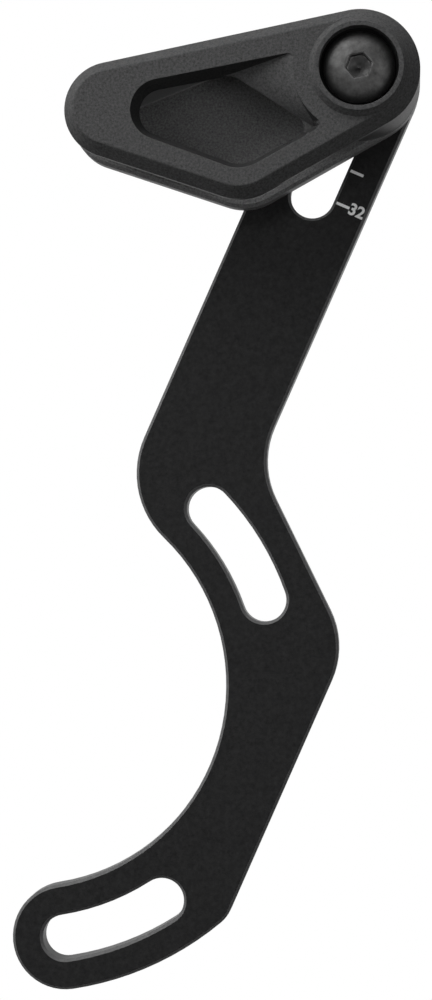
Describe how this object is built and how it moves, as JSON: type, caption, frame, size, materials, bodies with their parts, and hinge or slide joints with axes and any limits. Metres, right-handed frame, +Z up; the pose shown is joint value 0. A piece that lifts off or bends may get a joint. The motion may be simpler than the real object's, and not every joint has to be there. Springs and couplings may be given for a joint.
{
  "type": "bicycle chain guide",
  "caption": "Black bicycle upper chain guide: flat curved backplate with slots for bottom-bracket tabs, and a moulded two-half chain cage that slides on an arm slot and clamps with a bolt.",
  "frame": {"origin": "bottom-bracket axis on the rear face of the backplate", "axes": "+X towards the front of the bike, +Z up, +Y inboard towards the frame, so the drive side faces -Y"},
  "size_m": [0.0582, 0.0192, 0.137],
  "materials": {
    "anodised_plate": "satin black anodised",
    "cage_inner": "coarse moulded grain",
    "cage_outer": "fine moulded grain",
    "black_steel": "black oxide, satin",
    "nut_steel": "black oxide, satin"
  },
  "bodies": {
    "backplate": {"backplate": "anodised_plate"},
    "cage": {"inner_guide": "cage_inner", "outer_guide": "cage_outer", "clamp_bolt": "black_steel", "barrel_nut": "nut_steel"}
  },
  "joints": [
    {"name": "cage_slide", "type": "slide", "parent": "backplate", "child": "cage", "axis": [0.4043, 0, 0.9146], "range_m": [-0.00962, 0]}
  ]
}
